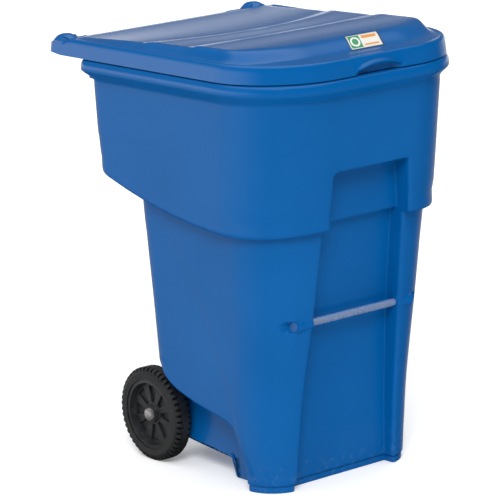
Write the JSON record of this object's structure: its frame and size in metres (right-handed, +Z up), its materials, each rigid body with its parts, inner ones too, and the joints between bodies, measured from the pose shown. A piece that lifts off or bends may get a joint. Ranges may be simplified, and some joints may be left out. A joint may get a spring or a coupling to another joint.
{
  "type": "wheelie bin",
  "caption": "Roll-out refuse cart: tapered moulded tub with a flared collar and front grab pocket, steel lifting bar, hinged domed lid and rubber-tyred wheels on a steel axle.",
  "frame": {"origin": "on the ground, under the middle of the cart's bounding box", "axes": "+Z up; -Y is the front with the grab pocket and the lifting bar; +Y is the back with the handle and the wheels; X runs along the axle"},
  "size_m": [0.72, 0.916, 1.167],
  "materials": {
    "blue_moulding": "semi-gloss moulded polyethylene with a faint texture",
    "pin_plastic": "moulded pin, satin",
    "black_plastic": "charcoal moulded polypropylene, satin",
    "tyre_rubber": "charcoal rubber, matt",
    "bush_nylon": "natural nylon",
    "axle_steel": "zinc-plated steel",
    "bar_steel": "plated steel tube, satin",
    "cap_steel": "bright pressed steel",
    "label_film": null
  },
  "bodies": {
    "tub_body": {"tub": "blue_moulding", "axle": "axle_steel", "axle_spacer_left": "black_plastic", "axle_spacer_right": "black_plastic", "hub_cap_left": "cap_steel", "hub_cap_right": "cap_steel", "hub_washer_left": "axle_steel", "hub_washer_right": "axle_steel", "lid_pin_left": "pin_plastic", "lid_pin_right": "pin_plastic"},
    "lid_body": {"lid": "blue_moulding", "lid_label": "label_film"},
    "wheel_left_body": {"wheel_left": "black_plastic", "tyre_left": "tyre_rubber", "wheel_bush_left": "bush_nylon"},
    "wheel_right_body": {"wheel_right": "black_plastic", "tyre_right": "tyre_rubber", "wheel_bush_right": "bush_nylon"},
    "lift_bar_body": {"lift_bar": "bar_steel", "lift_bar_cap_left": "cap_steel", "lift_bar_cap_right": "cap_steel"}
  },
  "joints": [
    {"name": "lid_hinge", "type": "hinge", "parent": "tub_body", "child": "lid_body", "pos_m": [0, 0.43, 1.112], "axis": [-1, 0, 0], "range_deg": [0, 270]},
    {"name": "wheel_left_spin", "type": "hinge", "parent": "tub_body", "child": "wheel_left_body", "pos_m": [-0.228, 0.226, 0.127], "axis": [1, 0, 0], "continuous": true},
    {"name": "wheel_right_spin", "type": "hinge", "parent": "tub_body", "child": "wheel_right_body", "pos_m": [0.228, 0.226, 0.127], "axis": [1, 0, 0], "continuous": true},
    {"name": "lift_bar_spin", "type": "hinge", "parent": "tub_body", "child": "lift_bar_body", "pos_m": [0, -0.319, 0.451], "axis": [1, 0, 0], "continuous": true}
  ]
}
